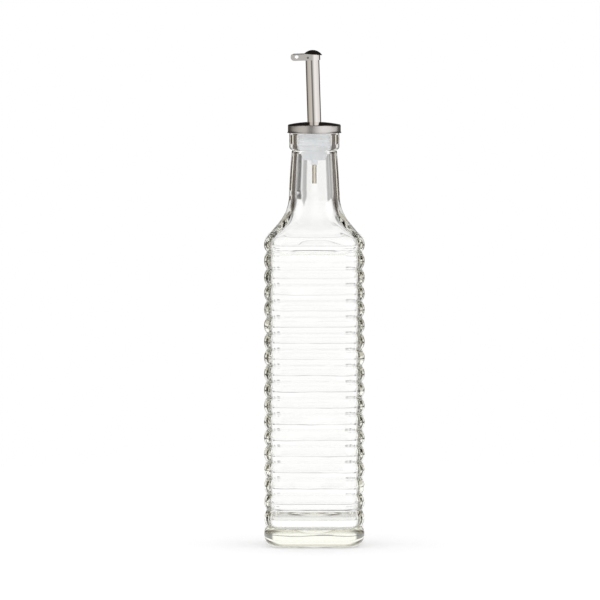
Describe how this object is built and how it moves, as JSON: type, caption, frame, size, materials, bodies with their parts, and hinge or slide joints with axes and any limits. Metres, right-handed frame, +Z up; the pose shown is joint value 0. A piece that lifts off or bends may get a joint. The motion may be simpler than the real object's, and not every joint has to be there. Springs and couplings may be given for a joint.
{
  "type": "oil bottle",
  "caption": "Square ribbed glass oil bottle with a tapered shoulder, plastic stopper, domed metal cap, steel spout and a hinged flap lid with a thumb lever.",
  "frame": {"origin": "middle of the base, on the surface that the bottle stands on", "axes": "+Z up along the bottle; +X the side that it pours to; the lever of the flap points to -X"},
  "size_m": [0.061, 0.061, 0.3008],
  "materials": {
    "bottle_glass": "clear pressed glass with a faint warm green tint",
    "stopper_plastic": "translucent moulded polyethylene",
    "breather_plastic": "clear extruded tube",
    "cap_steel": "satin skirt under a polished crown",
    "spout_steel": "polished stainless steel"
  },
  "bodies": {
    "bottle": {"glass_bottle": "bottle_glass", "stopper": "stopper_plastic", "breather": "breather_plastic", "cap": "cap_steel", "spout": "spout_steel", "hinge_pin": "spout_steel"},
    "flap": {"flap": "spout_steel"}
  },
  "joints": [
    {"name": "flap_hinge", "type": "hinge", "parent": "bottle", "child": "flap", "pos_m": [-0.00397, 0, 0.29619], "axis": [0, -1, 0], "range_deg": [0, 94]}
  ]
}
